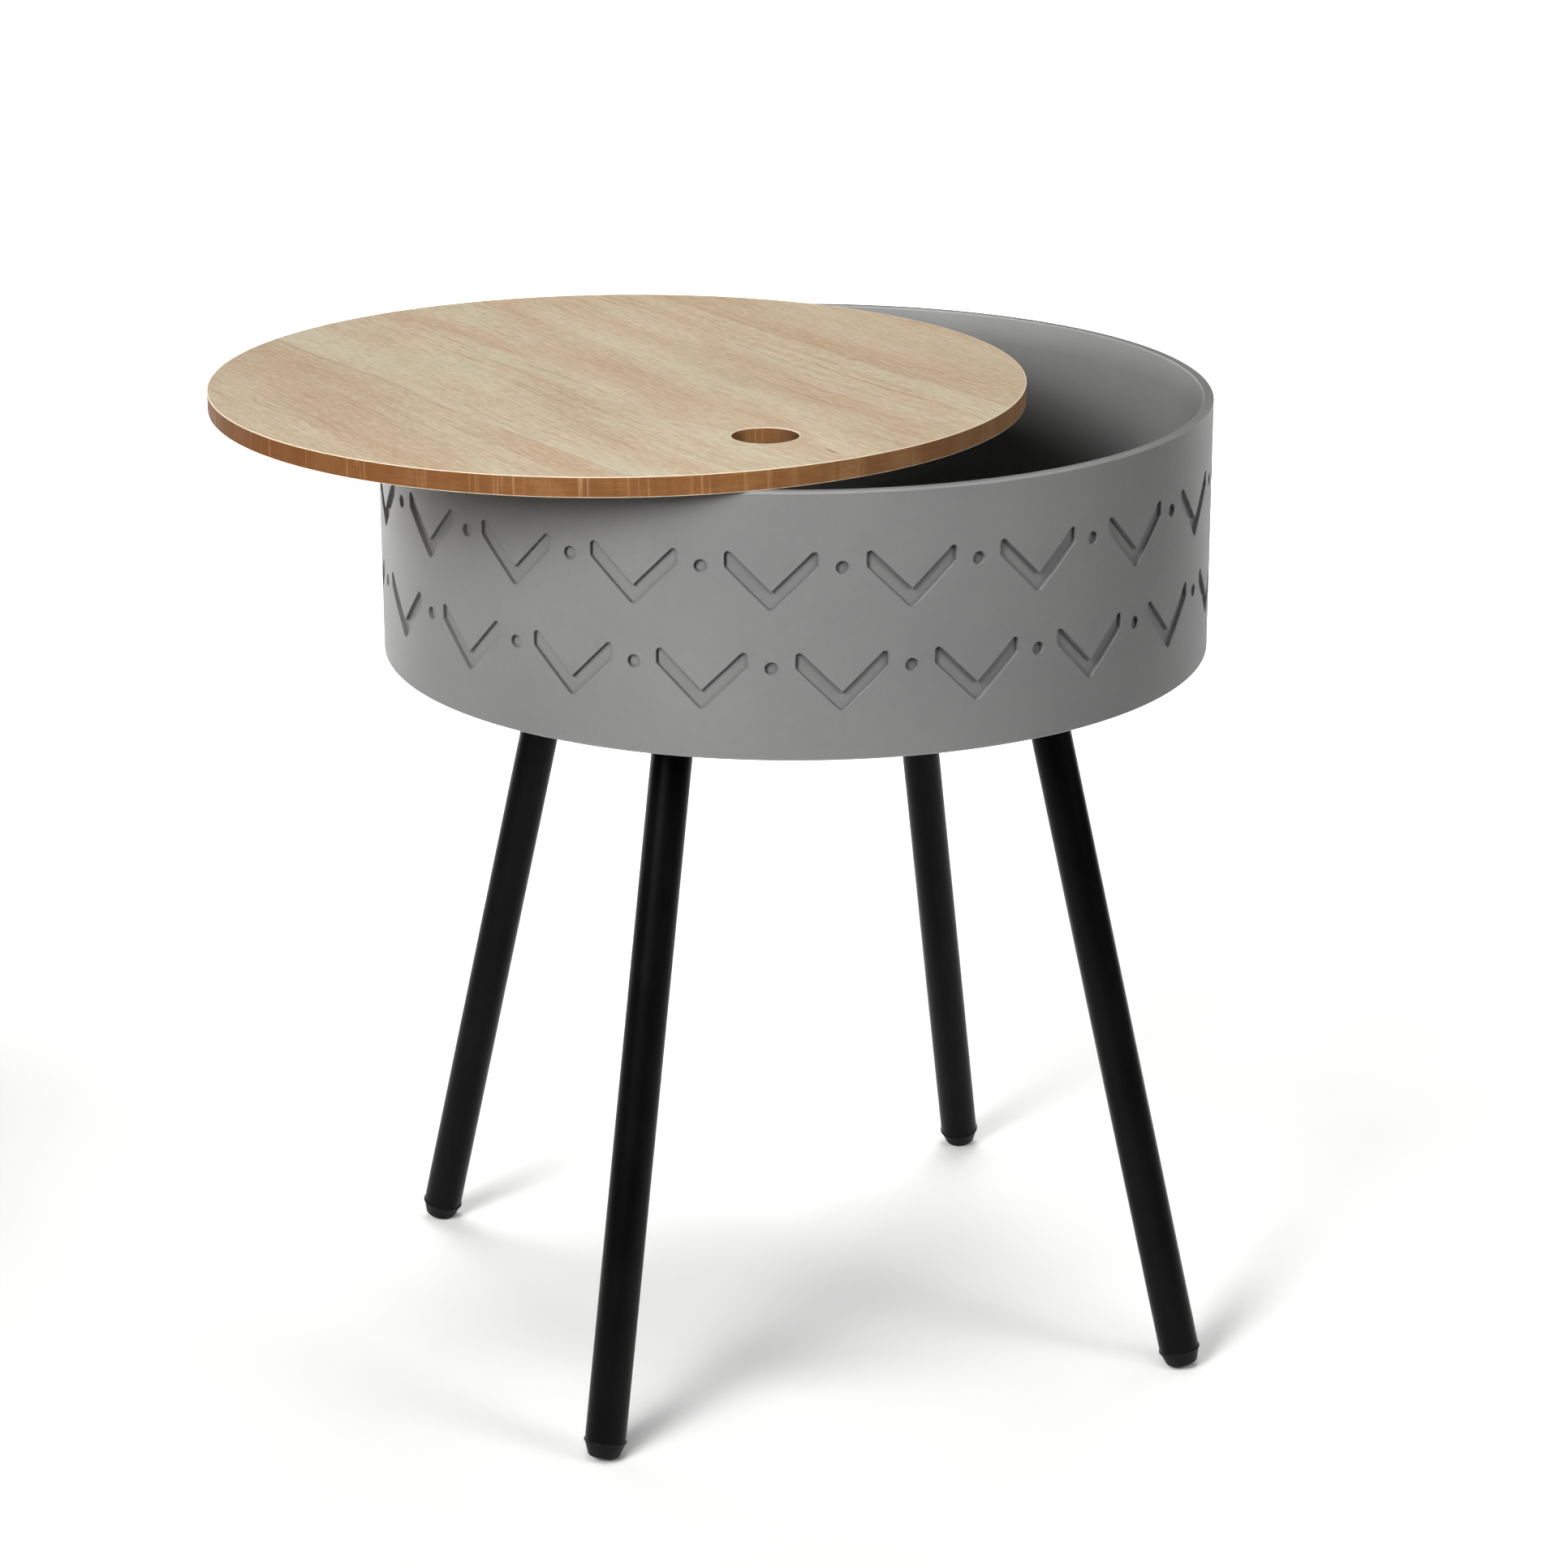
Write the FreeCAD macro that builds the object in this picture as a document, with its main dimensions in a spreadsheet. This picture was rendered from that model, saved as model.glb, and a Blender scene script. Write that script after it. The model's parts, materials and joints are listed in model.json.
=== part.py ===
import FreeCAD, Part
import math
import os

import Sketcher
from FreeCAD import Placement, Rotation, Vector

# Storage side table: a round drum with a loose lid on four splayed tube legs.
# Millimetres. The origin is on the floor under the drum's axis, +Z is up and
# the legs stand on the diagonals of X and Y.

doc = FreeCAD.newDocument("storage_side_table")
sheet = doc.addObject("Spreadsheet::Sheet", "Dims")

DIMS = [
    # drum
    ("drum_radius", 195.0),
    ("wall_thick", 5.0),
    ("drum_bottom", 340.0),
    ("drum_top", 460.0),
    ("rim_round", 1.2),
    ("rim_round_inside", 0.8),
    ("foot_round", 1.0),
    # routed pattern
    ("pocket_depth", 2.0),
    ("chevron_half_width", 20.1),
    ("chevron_top", 435.7),
    ("chevron_drop", 20.0),
    ("chevron_band", 9.05),
    ("chevron_corner", 1.8),
    ("chevron_end_corner", 1.6),
    ("chevron_tip_round", 2.1),
    ("dot_radius", 2.85),
    ("dot_below_top", 9.2),
    ("row_pitch", 44.9),
    ("pattern_count", 20.0),
    ("pattern_phase", 4.5),
    # base panel
    ("base_bottom", 348.0),
    ("base_thick", 9.0),
    ("groove_depth", 1.5),
    ("glue_gap", 0.1),
    ("pilot_radius", 1.8),
    ("pilot_depth", 7.3),
    # lid
    ("lid_radius", 189.2),
    ("lid_thick", 9.0),
    ("foil_thick", 0.3),
    ("finger_radius", 15.0),
    ("finger_offset", 133.8),
    ("lid_shift_x", -82.5),
    ("lid_shift_y", 13.0),
    ("lid_turn", -78.37),
    # lid rests
    ("rest_depth", 10.0),
    ("rest_height", 12.0),
    ("rest_arc", 14.0),
    ("rest_corner", 1.5),
    # legs
    ("leg_radius", 9.5),
    ("tube_thick", 1.5),
    ("splay", 13.5),
    ("foot_ring", 206.0),
    ("spigot_gap", 0.1),
    # foot caps
    ("cap_sole_radius", 7.2),
    ("cap_sole_round", 2.0),
    ("cap_neck_radius", 9.45),
    ("cap_neck_height", 6.8),
    ("cap_flange_radius", 9.9),
    ("cap_flange_top", 8.0),
    ("cap_flange_round", 0.4),
    ("cap_spigot_top", 26.0),
    ("cap_spigot_round", 1.2),
    # leg plugs and studs
    ("plug_flange", 1.5),
    ("plug_length", 20.0),
    ("stud_radius", 4.0),
    ("stud_gap", 0.1),
    ("stud_depth", 16.0),
    ("stud_reach", 8.0),
    ("stud_chamfer", 0.8),
    # leg plates and screws
    ("plate_side", 56.0),
    ("plate_thick", 2.0),
    ("plate_corner", 8.0),
    ("boss_length", 7.0),
    ("screw_spacing", 40.0),
    ("screw_hole_radius", 2.1),
    ("screw_radius", 1.75),
    ("screw_length", 9.0),
    ("screw_tip", 2.5),
    ("screw_head_radius", 3.6),
    ("screw_head_height", 2.1),
    ("screw_head_round", 1.2),
]
for row, (alias, value) in enumerate(DIMS, 1):
    sheet.set("A%d" % row, alias)
    sheet.set("B%d" % row, repr(value))
    sheet.setAlias("B%d" % row, alias)
doc.recompute()


class Size:
    """A length with its number and the expression that gives it."""

    def __init__(self, number, text):
        self.n = number
        self.t = text

    def __add__(self, other):
        other = size(other)
        return Size(self.n + other.n, "(%s + %s)" % (self.t, other.t))

    def __sub__(self, other):
        other = size(other)
        return Size(self.n - other.n, "(%s - %s)" % (self.t, other.t))

    def __mul__(self, other):
        other = size(other)
        return Size(self.n * other.n, "(%s * %s)" % (self.t, other.t))

    def __truediv__(self, other):
        other = size(other)
        return Size(self.n / other.n, "(%s / %s)" % (self.t, other.t))

    def __neg__(self):
        return Size(-self.n, "(0 - %s)" % self.t)


def size(value):
    if isinstance(value, Size):
        return value
    return Size(float(value), repr(float(value)))


class Table:
    pass


d = Table()
for alias, value in DIMS:
    setattr(d, alias, Size(float(sheet.get(alias)), "Dims." + alias))

ZERO = size(0.0)


def origin_feature(body, role):
    for feature in body.Origin.OriginFeatures:
        if feature.Role == role:
            return feature
    raise RuntimeError("no %s in %s" % (role, body.Label))


def new_body(label):
    body = doc.addObject("PartDesign::Body", label)
    body.Label = label
    return body


def new_sketch(body, name, role, offset=None):
    sketch = body.newObject("Sketcher::SketchObject", name)
    sketch.AttachmentSupport = [(origin_feature(body, role), "")]
    sketch.MapMode = "FlatFace"
    if offset is not None:
        sketch.AttachmentOffset = offset
    return sketch


def place_point(sketch, geometry, position, x, y):
    """Dimension one point of the sketch from its origin."""
    for kind, axis, value in (("DistanceX", -2, x), ("DistanceY", -1, y)):
        if abs(value.n) < 1e-9:
            sketch.addConstraint(
                Sketcher.Constraint("PointOnObject", geometry, position, axis))
        else:
            index = sketch.addConstraint(Sketcher.Constraint(
                kind, -1, 1, geometry, position, value.n))
            sketch.setExpression("Constraints[%d]" % index, value.t)


def outline(sketch, corners):
    """Closed outline through the corners (x, y, round), each fully dimensioned."""
    corners = [(size(x), size(y), None if r is None else size(r))
               for x, y, r in corners]
    count = len(corners)
    points = [Vector(x.n, y.n, 0) for x, y, r in corners]
    start = list(points)
    end = list(points)
    arcs = [None] * count
    for i, (x, y, r) in enumerate(corners):
        if r is None:
            continue
        back = (points[i - 1] - points[i]).normalize()
        ahead = (points[(i + 1) % count] - points[i]).normalize()
        angle = back.getAngle(ahead)
        reach = r.n / math.tan(angle / 2)
        end[i] = points[i] + back * reach
        start[i] = points[i] + ahead * reach
        middle = points[i] + (back + ahead).normalize() * (r.n / math.sin(angle / 2))
        a = math.atan2(end[i].y - middle.y, end[i].x - middle.x)
        b = math.atan2(start[i].y - middle.y, start[i].x - middle.x)
        left = (-back).cross(ahead).z > 0
        circle = Part.Circle(middle, Vector(0, 0, 1), r.n)
        arcs[i] = (circle, a, b, True) if left else (circle, b, a, False)
    lines = [sketch.addGeometry(
        Part.LineSegment(start[i], end[(i + 1) % count]), False)
        for i in range(count)]
    for i, (x, y, r) in enumerate(corners):
        if r is None:
            sketch.addConstraint(
                Sketcher.Constraint("Coincident", lines[i - 1], 2, lines[i], 1))
            place_point(sketch, lines[i], 1, x, y)
            continue
        circle, a, b, left = arcs[i]
        arc = sketch.addGeometry(Part.ArcOfCircle(circle, a, b), False)
        corner = sketch.addGeometry(Part.Point(points[i]), True)
        first, last = (1, 2) if left else (2, 1)
        sketch.addConstraint(
            Sketcher.Constraint("Tangent", lines[i - 1], 2, arc, first))
        sketch.addConstraint(
            Sketcher.Constraint("Tangent", lines[i], 1, arc, last))
        index = sketch.addConstraint(Sketcher.Constraint("Radius", arc, r.n))
        sketch.setExpression("Constraints[%d]" % index, r.t)
        sketch.addConstraint(
            Sketcher.Constraint("PointOnObject", corner, 1, lines[i - 1]))
        sketch.addConstraint(
            Sketcher.Constraint("PointOnObject", corner, 1, lines[i]))
        place_point(sketch, corner, 1, x, y)


def ring(sketch, x, y, radius):
    """Circle with its centre and radius dimensioned."""
    x, y, radius = size(x), size(y), size(radius)
    circle = sketch.addGeometry(
        Part.Circle(Vector(x.n, y.n, 0), Vector(0, 0, 1), radius.n), False)
    place_point(sketch, circle, 3, x, y)
    index = sketch.addConstraint(Sketcher.Constraint("Radius", circle, radius.n))
    sketch.setExpression("Constraints[%d]" % index, radius.t)


def revolve(body, name, sketch, angle=None):
    turn = body.newObject("PartDesign::Revolution", name)
    turn.Profile = sketch
    turn.ReferenceAxis = (sketch, ["V_Axis"])
    turn.Angle = 360.0
    if angle is not None:
        turn.Midplane = True
        turn.setExpression("Angle", angle.t)
    return turn


def pad(body, name, sketch, length):
    block = body.newObject("PartDesign::Pad", name)
    block.Profile = sketch
    block.Length = length.n
    block.setExpression("Length", length.t)
    return block


def pocket(body, name, sketch, length, reversed_way):
    cut = body.newObject("PartDesign::Pocket", name)
    cut.Profile = sketch
    cut.Length = length.n
    cut.setExpression("Length", length.t)
    cut.Reversed = reversed_way
    return cut


def must_change(before, after, label, sign):
    if (after - before) * sign <= 1.0:
        raise RuntimeError("%s changed nothing" % label)


nodes = []

# Legs: name, and the angle of the leg around the drum's axis.
LEGS = [("front_left", -135.0), ("front_right", -45.0),
        ("back_right", 45.0), ("back_left", 135.0)]

lean = math.radians(d.splay.n)

# ---------------------------------------------------------------- drum wall
# The hoop is an outer skin that the pattern is cut through, on an inner layer
# that closes the pockets and has the groove for the base.
wall = new_body("drum_wall")
skin_inside = d.drum_radius - d.pocket_depth
skin_sketch = new_sketch(wall, "wall_skin_profile", "XZ_Plane")
outline(skin_sketch, [
    (skin_inside, d.drum_bottom, None),
    (d.drum_radius, d.drum_bottom, d.foot_round),
    (d.drum_radius, d.drum_top, d.rim_round),
    (skin_inside, d.drum_top, None),
])
skin = revolve(wall, "wall_skin", skin_sketch)
doc.recompute()
plain_volume = skin.Shape.Volume

cuts = []
for row_name, row, turn in (("upper", 0.0, -1.0), ("lower", 1.0, 1.0)):
    top = d.chevron_top - d.row_pitch * row
    half = d.chevron_half_width
    phase = turn * d.pattern_phase.n
    step = 360.0 / d.pattern_count.n
    chevron_sketch = new_sketch(
        wall, "chevron_%s_profile" % row_name, "XZ_Plane",
        Placement(Vector(), Rotation(Vector(0, 1, 0), phase)))
    outline(chevron_sketch, [
        (-half, top, d.chevron_end_corner),
        (-half, top - d.chevron_band, d.chevron_corner),
        (ZERO, top - d.chevron_drop - d.chevron_band, d.chevron_tip_round),
        (half, top - d.chevron_band, d.chevron_corner),
        (half, top, d.chevron_end_corner),
        (ZERO, top - d.chevron_drop, None),
    ])
    cuts.append(pocket(wall, "chevron_%s" % row_name, chevron_sketch,
                       d.drum_radius + 5.0, True))
    dot_sketch = new_sketch(
        wall, "dot_%s_profile" % row_name, "XZ_Plane",
        Placement(Vector(), Rotation(Vector(0, 1, 0), phase + step / 2)))
    ring(dot_sketch, ZERO, top - d.dot_below_top, d.dot_radius)
    cuts.append(pocket(wall, "dot_%s" % row_name, dot_sketch,
                       d.drum_radius + 5.0, True))
    doc.recompute()
one_set_volume = wall.Tip.Shape.Volume
must_change(plain_volume, one_set_volume, "routed pattern", -1)

pattern = wall.newObject("PartDesign::PolarPattern", "pattern_round_the_drum")
pattern.Originals = cuts
pattern.Axis = (origin_feature(wall, "Z_Axis"), [""])
pattern.Angle = 360.0
pattern.setExpression("Occurrences", "Dims.pattern_count")
wall.Tip = pattern
doc.recompute()
must_change(one_set_volume, pattern.Shape.Volume, "pattern", -1)
one_cut = plain_volume - one_set_volume
all_cut = plain_volume - pattern.Shape.Volume
if abs(all_cut / one_cut - d.pattern_count.n) > 0.2:
    raise RuntimeError("pattern cut %.3f sets" % (all_cut / one_cut))

bore = d.drum_radius - d.wall_thick
groove_top = d.base_bottom + d.base_thick
lining_sketch = new_sketch(wall, "wall_lining_profile", "XZ_Plane")
outline(lining_sketch, [
    (bore, d.drum_bottom, d.rim_round_inside),
    (skin_inside, d.drum_bottom, None),
    (skin_inside, d.drum_top, None),
    (bore, d.drum_top, d.rim_round_inside),
    (bore, groove_top, None),
    (bore + d.groove_depth, groove_top, None),
    (bore + d.groove_depth, d.base_bottom, None),
    (bore, d.base_bottom, None),
])
lining = revolve(wall, "wall_lining", lining_sketch)
doc.recompute()
must_change(pattern.Shape.Volume, lining.Shape.Volume, "wall lining", 1)
wall.Tip = lining
nodes.append(wall)

# ---------------------------------------------------------------- drum base
base = new_body("drum_base")
base_sketch = new_sketch(base, "base_outline", "XY_Plane")
ring(base_sketch, ZERO, ZERO, bore + d.groove_depth - d.glue_gap)
pad(base, "base_panel", base_sketch, d.base_thick)
doc.recompute()
base_volume = base.Shape.Volume
# Pilot holes for the plate screws, on the underside.
plate_height = d.base_bottom - d.plate_thick
plate_ring = d.foot_ring.n - plate_height.n * math.tan(lean)
for leg_name, leg_angle in LEGS:
    pilot_sketch = new_sketch(
        base, "pilots_%s_outline" % leg_name, "XY_Plane",
        Placement(Vector(plate_ring * math.cos(math.radians(leg_angle)),
                         plate_ring * math.sin(math.radians(leg_angle)), 0),
                  Rotation(Vector(0, 0, 1), leg_angle)))
    half = d.screw_spacing / 2.0
    for x, y in ((half, half), (-half, half), (-half, -half), (half, -half)):
        ring(pilot_sketch, x, y, d.pilot_radius)
    pocket(base, "pilots_%s" % leg_name, pilot_sketch, d.pilot_depth, True)
    doc.recompute()
must_change(base_volume, base.Shape.Volume, "pilot holes", -1)
base.Placement = Placement(Vector(0, 0, d.base_bottom.n), Rotation())
nodes.append(base)

# ---------------------------------------------------------------- lid
# Three layers of one disc. Each layer's own X axis runs along the grain,
# through the middle of the finger hole.
lid_turn = Rotation(Vector(0, 0, 1), d.lid_turn.n)
layers = [
    ("lid_underside_foil", ZERO, d.foil_thick),
    ("lid_core", d.foil_thick, d.lid_thick - d.foil_thick * 2.0),
    ("lid_top_foil", d.lid_thick - d.foil_thick, d.foil_thick),
]
for label, low, thick in layers:
    layer = new_body(label)
    layer_sketch = new_sketch(layer, label + "_outline", "XY_Plane")
    ring(layer_sketch, ZERO, ZERO, d.lid_radius)
    ring(layer_sketch, d.finger_offset, ZERO, d.finger_radius)
    pad(layer, label + "_sheet", layer_sketch, thick)
    layer.Placement = Placement(
        Vector(d.lid_shift_x.n, d.lid_shift_y.n, d.drum_top.n + low.n), lid_turn)
    nodes.append(layer)

# ---------------------------------------------------------------- lid rests
# Three curved blocks inside the hoop, their tops one lid thickness below the rim.
rest_top = d.drum_top - d.lid_thick
for name, angle in (("right", -50.0), ("back", 70.0), ("left", 190.0)):
    rest = new_body("lid_rest_" + name)
    rest_sketch = new_sketch(rest, "lid_rest_%s_profile" % name, "XZ_Plane")
    outer = bore - d.glue_gap
    outline(rest_sketch, [
        (outer - d.rest_depth, rest_top - d.rest_height, d.rest_corner),
        (outer, rest_top - d.rest_height, None),
        (outer, rest_top, None),
        (outer - d.rest_depth, rest_top, d.rest_corner),
    ])
    revolve(rest, "lid_rest_%s_block" % name, rest_sketch, d.rest_arc)
    rest.Placement = Placement(Vector(), Rotation(Vector(0, 0, 1), angle))
    nodes.append(rest)

# ---------------------------------------------------------------- legs
# Each leg's own Z axis runs up the tube from the middle of the cap's sole. The
# sole is square to the tube, so the table stands on its inner edge.
sole_half = (math.pi / 2 + math.atan(
    (d.cap_neck_radius.n - d.cap_sole_radius.n) / d.cap_neck_height.n)) / 2
flat_radius = d.cap_sole_radius.n - d.cap_sole_round.n / math.tan(sole_half)
sole_height = (d.cap_sole_round.n * (1 - math.cos(lean))
               + flat_radius * math.sin(lean))
sole_ring = d.foot_ring.n - sole_height * math.tan(lean)
seat = (plate_height.n - sole_height) / math.cos(lean) - d.boss_length.n
sole_to_seat = ((plate_height - sole_height) / math.cos(lean)) - d.boss_length
tube_top = sole_to_seat - d.plug_flange
tube_bore = d.leg_radius - d.tube_thick
spigot = tube_bore - d.spigot_gap
stud_hole = d.stud_radius + d.stud_gap


def leg_place(angle, height=0.0):
    turn = (Rotation(Vector(0, 0, 1), angle)
            * Rotation(Vector(0, 1, 0), -d.splay.n))
    foot = Vector(sole_ring * math.cos(math.radians(angle)),
                  sole_ring * math.sin(math.radians(angle)), sole_height)
    return Placement(foot + turn.multVec(Vector(0, 0, height)), turn)


for name, angle in LEGS:
    tube = new_body("leg_tube_" + name)
    tube_sketch = new_sketch(tube, "leg_tube_%s_profile" % name, "XZ_Plane")
    outline(tube_sketch, [
        (tube_bore, d.cap_flange_top, None),
        (d.leg_radius, d.cap_flange_top, None),
        (d.leg_radius, tube_top, None),
        (tube_bore, tube_top, None),
    ])
    revolve(tube, "leg_tube_%s_wall" % name, tube_sketch)
    tube.Placement = leg_place(angle)
    nodes.append(tube)

    cap = new_body("foot_cap_" + name)
    cap_sketch = new_sketch(cap, "foot_cap_%s_profile" % name, "XZ_Plane")
    outline(cap_sketch, [
        (ZERO, ZERO, None),
        (d.cap_sole_radius, ZERO, d.cap_sole_round),
        (d.cap_neck_radius, d.cap_neck_height, None),
        (d.cap_flange_radius, d.cap_neck_height, d.cap_flange_round),
        (d.cap_flange_radius, d.cap_flange_top, d.cap_flange_round),
        (spigot, d.cap_flange_top, None),
        (spigot, d.cap_spigot_top, d.cap_spigot_round),
        (ZERO, d.cap_spigot_top, None),
    ])
    revolve(cap, "foot_cap_%s_solid" % name, cap_sketch)
    cap.Placement = leg_place(angle)
    nodes.append(cap)

    plug = new_body("leg_plug_" + name)
    plug_sketch = new_sketch(plug, "leg_plug_%s_profile" % name, "XZ_Plane")
    outline(plug_sketch, [
        (ZERO, tube_top - d.plug_length, None),
        (spigot, tube_top - d.plug_length, d.cap_spigot_round),
        (spigot, tube_top, None),
        (d.leg_radius, tube_top, None),
        (d.leg_radius, sole_to_seat, None),
        (stud_hole, sole_to_seat, None),
        (stud_hole, sole_to_seat - d.stud_depth, None),
        (ZERO, sole_to_seat - d.stud_depth, None),
    ])
    revolve(plug, "leg_plug_%s_solid" % name, plug_sketch)
    plug.Placement = leg_place(angle)
    nodes.append(plug)

    # Plate with a tilted boss that the leg screws up against. Its own Z axis
    # is upright and its X axis points away from the drum's axis.
    plate = new_body("leg_plate_" + name)
    tilt = Rotation(Vector(0, 1, 0), -d.splay.n)
    boss_end = Vector(d.boss_length.n * math.sin(lean), 0,
                      -d.boss_length.n * math.cos(lean))
    boss = plate.newObject("PartDesign::AdditiveCylinder", "boss_" + name)
    boss.AttachmentSupport = [(origin_feature(plate, "XY_Plane"), "")]
    boss.MapMode = "FlatFace"
    boss.AttachmentOffset = Placement(boss_end, tilt)
    boss.setExpression("Radius", "Dims.leg_radius")
    boss.setExpression("Height", "Dims.boss_length + 4")
    doc.recompute()
    boss_volume = boss.Shape.Volume
    trim = plate.newObject("PartDesign::SubtractiveBox", "boss_trim_" + name)
    trim.AttachmentSupport = [(origin_feature(plate, "XY_Plane"), "")]
    trim.MapMode = "FlatFace"
    trim.AttachmentOffset = Placement(Vector(-20, -20, 0), Rotation())
    trim.Length = 40
    trim.Width = 40
    trim.Height = 12
    doc.recompute()
    must_change(boss_volume, trim.Shape.Volume, "boss trim", -1)
    side = d.plate_side / 2.0
    plate_sketch = new_sketch(plate, "leg_plate_%s_outline" % name, "XY_Plane")
    outline(plate_sketch, [
        (-side, -side, d.plate_corner),
        (side, -side, d.plate_corner),
        (side, side, d.plate_corner),
        (-side, side, d.plate_corner),
    ])
    pad(plate, "leg_plate_%s_sheet" % name, plate_sketch, d.plate_thick)
    doc.recompute()
    plate_volume = plate.Shape.Volume
    hole_sketch = new_sketch(plate, "leg_plate_%s_holes" % name, "XY_Plane")
    half = d.screw_spacing / 2.0
    for x, y in ((half, half), (-half, half), (-half, -half), (half, -half)):
        ring(hole_sketch, x, y, d.screw_hole_radius)
    pocket(plate, "leg_plate_%s_screw_holes" % name, hole_sketch,
           d.plate_thick, True)
    doc.recompute()
    must_change(plate_volume, plate.Shape.Volume, "plate holes", -1)
    plate_volume = plate.Shape.Volume
    thread = plate.newObject("PartDesign::SubtractiveCylinder", "boss_thread_" + name)
    thread.AttachmentSupport = [(origin_feature(plate, "XY_Plane"), "")]
    thread.MapMode = "FlatFace"
    thread.AttachmentOffset = Placement(boss_end + tilt.multVec(Vector(0, 0, -2)), tilt)
    thread.setExpression("Radius", stud_hole.t)
    thread.setExpression("Height", "Dims.boss_length + 10")
    doc.recompute()
    must_change(plate_volume, plate.Shape.Volume, "boss thread", -1)
    plate.Placement = Placement(
        Vector(plate_ring * math.cos(math.radians(angle)),
               plate_ring * math.sin(math.radians(angle)), plate_height.n),
        Rotation(Vector(0, 0, 1), angle))
    nodes.append(plate)
    doc.recompute()

# ---------------------------------------------------------------- fasteners
# One stud and one screw are modelled; each node is the group of all of them.
stud = new_body("stud_pattern_piece")
stud_sketch = new_sketch(stud, "stud_profile", "XZ_Plane")
stud_low = sole_to_seat - d.stud_depth
stud_high = sole_to_seat + d.stud_reach
outline(stud_sketch, [
    (ZERO, stud_low, None),
    (d.stud_radius, stud_low, None),
    (d.stud_radius, stud_high - d.stud_chamfer, None),
    (d.stud_radius - d.stud_chamfer, stud_high, None),
    (ZERO, stud_high, None),
])
revolve(stud, "stud_solid", stud_sketch)

screw = new_body("screw_pattern_piece")
screw_sketch = new_sketch(screw, "screw_profile", "XZ_Plane")
outline(screw_sketch, [
    (ZERO, -d.screw_head_height, None),
    (d.screw_head_radius, -d.screw_head_height, d.screw_head_round),
    (d.screw_head_radius, ZERO, None),
    (d.screw_radius, ZERO, None),
    (d.screw_radius, d.screw_length - d.screw_tip, None),
    (ZERO, d.screw_length, None),
])
revolve(screw, "screw_solid", screw_sketch)
doc.recompute()

# A cross recess in the head, pressed in from below.
screw_volume = screw.Shape.Volume
for across in (0.0, 90.0):
    slot = screw.newObject("PartDesign::SubtractiveBox", "recess_%d" % across)
    slot.AttachmentSupport = [(origin_feature(screw, "XY_Plane"), "")]
    slot.MapMode = "FlatFace"
    slot.Length = 4.0
    slot.Width = 0.9
    slot.Height = 1.3
    turn = Rotation(Vector(0, 0, 1), across)
    slot.AttachmentOffset = Placement(
        turn.multVec(Vector(-2.0, -0.45, 0)) + Vector(0, 0, -d.screw_head_height.n - 0.2),
        turn)
    doc.recompute()
must_change(screw_volume, screw.Shape.Volume, "screw recess", -1)

stud_solids = []
screw_solids = []
for name, angle in LEGS:
    piece = stud.Shape.copy()
    piece.Placement = leg_place(angle)
    stud_solids.append(piece)
    turn = Rotation(Vector(0, 0, 1), angle)
    middle = Vector(plate_ring * math.cos(math.radians(angle)),
                    plate_ring * math.sin(math.radians(angle)), plate_height.n)
    half = d.screw_spacing.n / 2
    for x, y in ((half, half), (-half, half), (-half, -half), (half, -half)):
        piece = screw.Shape.copy()
        piece.Placement = Placement(middle + turn.multVec(Vector(x, y, 0)), turn)
        screw_solids.append(piece)
for label, solids in (("leg_studs", stud_solids), ("plate_screws", screw_solids)):
    group = doc.addObject("Part::Feature", label)
    group.Label = label
    group.Shape = Part.makeCompound(solids)
    group.Placement = Placement()
    nodes.append(group)

# ---------------------------------------------------------------- check and write
doc.recompute()
for item in doc.Objects:
    for state in item.State:
        if state in ("Invalid", "Error"):
            raise RuntimeError("%s: %s" % (item.Label, item.State))
for item in doc.Objects:
    if item.TypeId == "Sketcher::SketchObject" and item.solve() != 0:
        raise RuntimeError("%s does not solve" % item.Label)
for node in nodes:
    if node.Shape.isNull() or not node.Shape.isValid() or not node.Shape.Solids:
        raise RuntimeError("%s has no valid solid" % node.Label)

os.makedirs("parts", exist_ok=True)
for node in nodes:
    node.Shape.exportStep("parts/%s.step" % node.Label)
    box = node.Shape.BoundBox
    print("%-24s solids %2d volume %10.1f  x %.2f..%.2f y %.2f..%.2f z %.3f..%.3f" % (
        node.Label, len(node.Shape.Solids), node.Shape.Volume, box.XMin, box.XMax,
        box.YMin, box.YMax, box.ZMin, box.ZMax))
print("sole height %.4f seat %.3f plate ring %.3f" % (sole_height, seat, plate_ring))
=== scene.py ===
import json
import math

import bpy
import numpy as np
from mathutils import Matrix, Vector
from mathutils.geometry import delaunay_2d_cdt

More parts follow.
